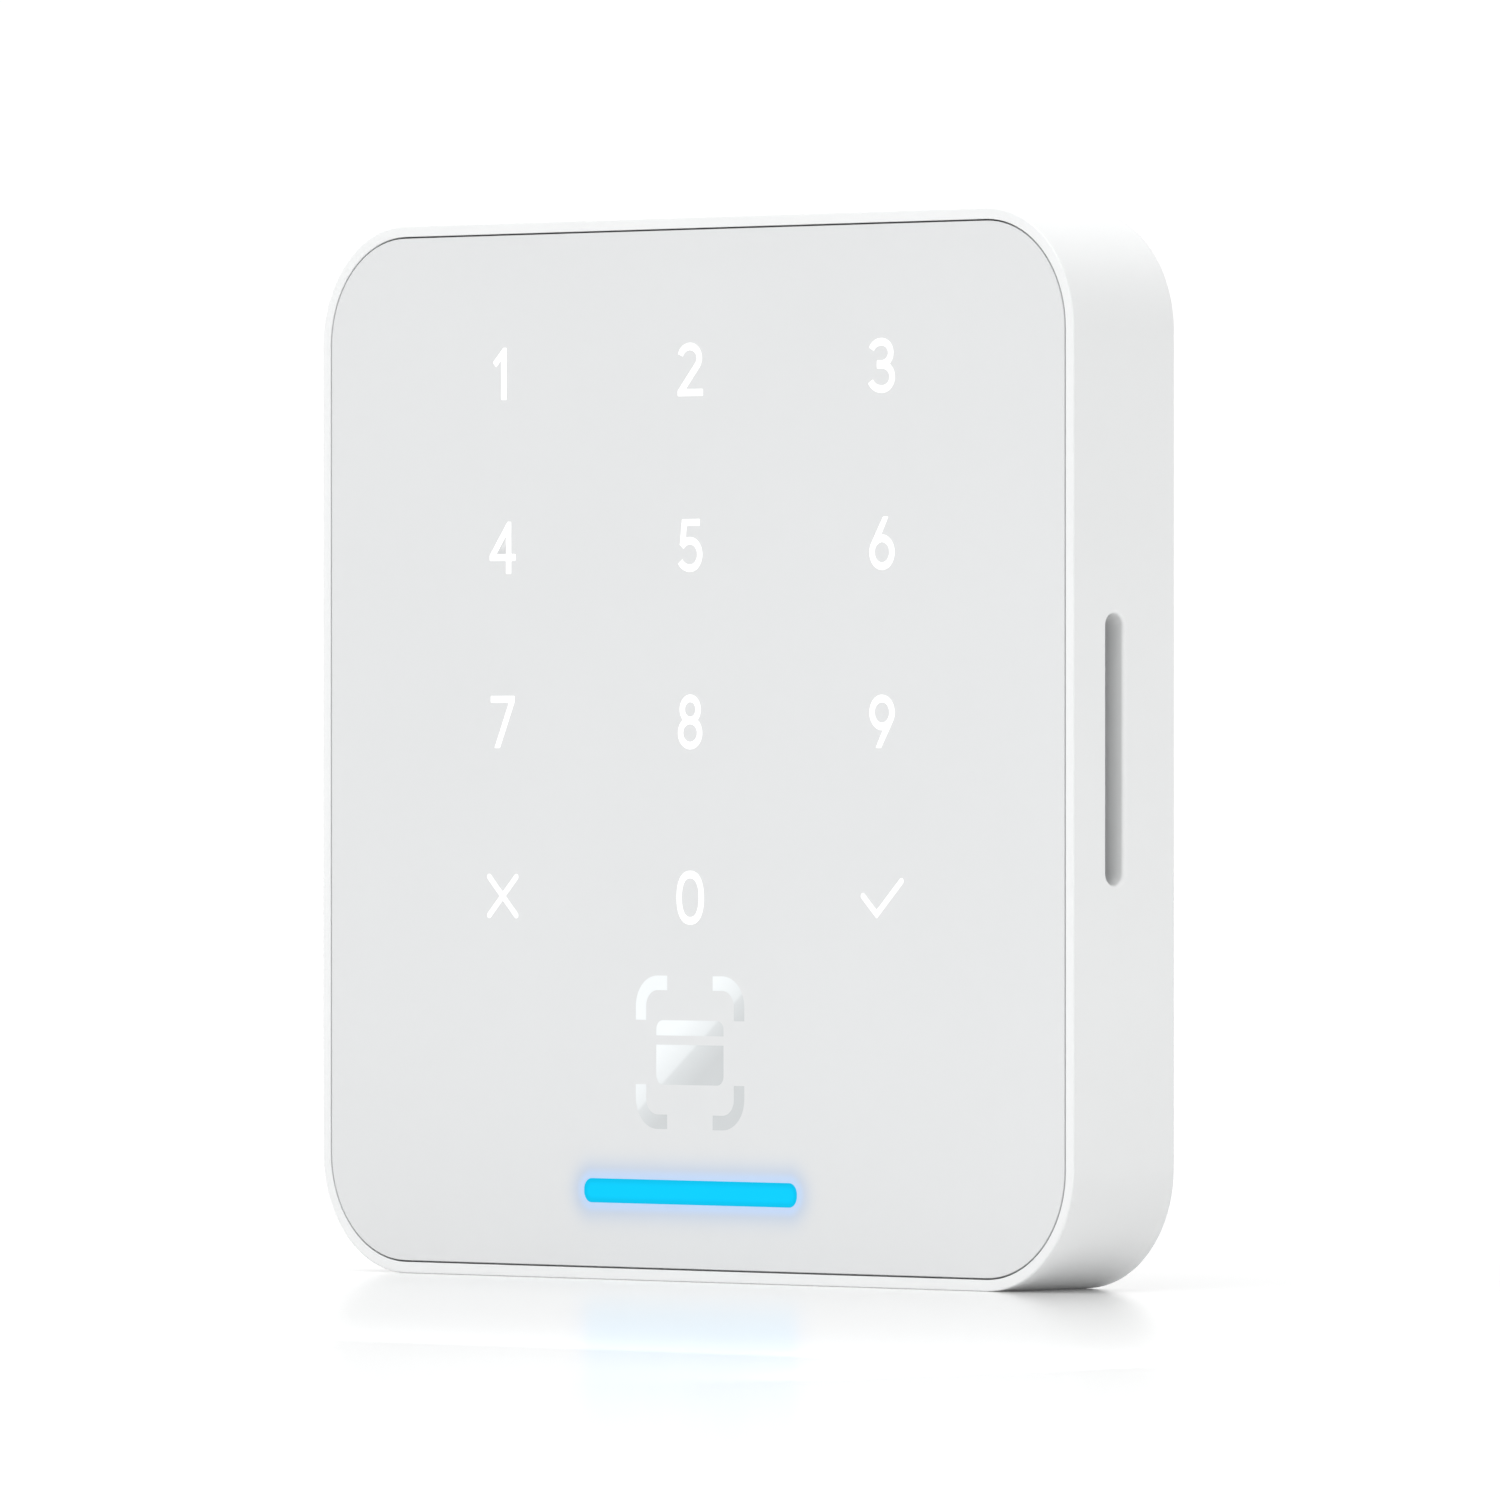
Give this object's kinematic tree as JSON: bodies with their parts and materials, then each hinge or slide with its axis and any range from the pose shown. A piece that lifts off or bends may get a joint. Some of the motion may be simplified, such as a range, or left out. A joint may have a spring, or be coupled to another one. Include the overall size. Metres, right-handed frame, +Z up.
{
  "type": "rfid card reader",
  "caption": "Square wall-mounted card reader with a flush touch keypad, lit numerals, a blue status bar, a side sound slot and a metal wall plate.",
  "frame": {"origin": "centre of the lower edge: halfway across the width and the overall depth, at the bottom face", "axes": "+Z up, +Y towards the wall, the touch panel faces -Y, +X to the right as seen from the front"},
  "size_m": [0.115, 0.0164, 0.115],
  "materials": {
    "housing_white": "fine matt moulded, UV-stable white",
    "panel_grey": "satin hard-coated, very pale cool grey",
    "legend_white": "translucent white, lit from behind",
    "bar_cyan": "translucent, lit cyan blue from behind",
    "silver_foil": "satin silver foil print",
    "tape_black": "foam tape",
    "film_clear": "clear film with printed sensing pads",
    "light_box_white": "matt reflective white",
    "board_green": "solder-resist glass-fibre board",
    "led_white": "clear resin package",
    "copper_track": "etched copper",
    "ferrite_dark": "dark grey ferrite sheet",
    "black_plastic": "matt black",
    "nylon_natural": "natural white",
    "screw_steel": "bright zinc plated",
    "tinned_steel": "tinned",
    "terminal_green": "satin green",
    "rubber_grey": "matt silicone",
    "foam_black": "closed-cell foam",
    "mesh_black": "fine woven black mesh",
    "contact_gold": "gold plated",
    "cover_grey": "fine matt moulded light grey",
    "insert_brass": "turned",
    "spring_steel": "drawn wire",
    "button_orange": "satin",
    "label_white": "blank printed label stock",
    "plate_metal": "satin anodised sheet"
  },
  "bodies": {
    "reader": {"housing_shell": "housing_white", "keypad_panel": "panel_grey", "status_bar_lens": "bar_cyan", "tap_symbol": "silver_foil", "panel_adhesive": "tape_black", "touch_film": "film_clear", "light_box": "light_box_white", "key_board": "board_green", "key_leds": "led_white", "status_leds": "led_white", "antenna_coil": "copper_track", "ferrite_sheet": "ferrite_dark", "board_connector": "black_plastic", "board_spacers": "nylon_natural", "main_board": "board_green", "board_screws": "screw_steel", "shield_can": "tinned_steel", "board_chips": "black_plastic", "power_inductor": "ferrite_dark", "capacitors": "tinned_steel", "terminal_block": "terminal_green", "terminal_screws": "screw_steel", "terminal_seal": "rubber_grey", "speaker": "black_plastic", "speaker_gasket": "foam_black", "acoustic_mesh": "mesh_black", "speaker_contacts": "contact_gold", "rear_cover": "cover_grey", "cover_seal": "rubber_grey", "cover_screws": "screw_steel", "threaded_insert": "insert_brass", "security_screw": "screw_steel", "tamper_switch": "black_plastic", "tamper_spring": "spring_steel", "reset_switch": "black_plastic", "data_label": "label_white", "legend_1": "legend_white", "legend_2": "legend_white", "legend_3": "legend_white", "legend_4": "legend_white", "legend_5": "legend_white", "legend_6": "legend_white", "legend_7": "legend_white", "legend_8": "legend_white", "legend_9": "legend_white", "legend_cancel": "legend_white", "legend_0": "legend_white", "legend_enter": "legend_white"},
    "plate": {"wall_plate": "plate_metal"},
    "plunger": {"tamper_plunger": "nylon_natural"},
    "button": {"reset_button": "button_orange"}
  },
  "joints": [
    {"name": "wall_plate_release", "type": "slide", "parent": "reader", "child": "plate", "axis": [0, 1, 0], "range_m": [0, 0.03]},
    {"name": "tamper_press", "type": "slide", "parent": "reader", "child": "plunger", "axis": [0, -1, 0], "range_m": [0, 0.0012], "stiffness_N_per_m": 300, "deforming": ["tamper_spring"]},
    {"name": "reset_press", "type": "slide", "parent": "reader", "child": "button", "axis": [0, -1, 0], "range_m": [0, 0.0004], "stiffness_N_per_m": 800}
  ]
}
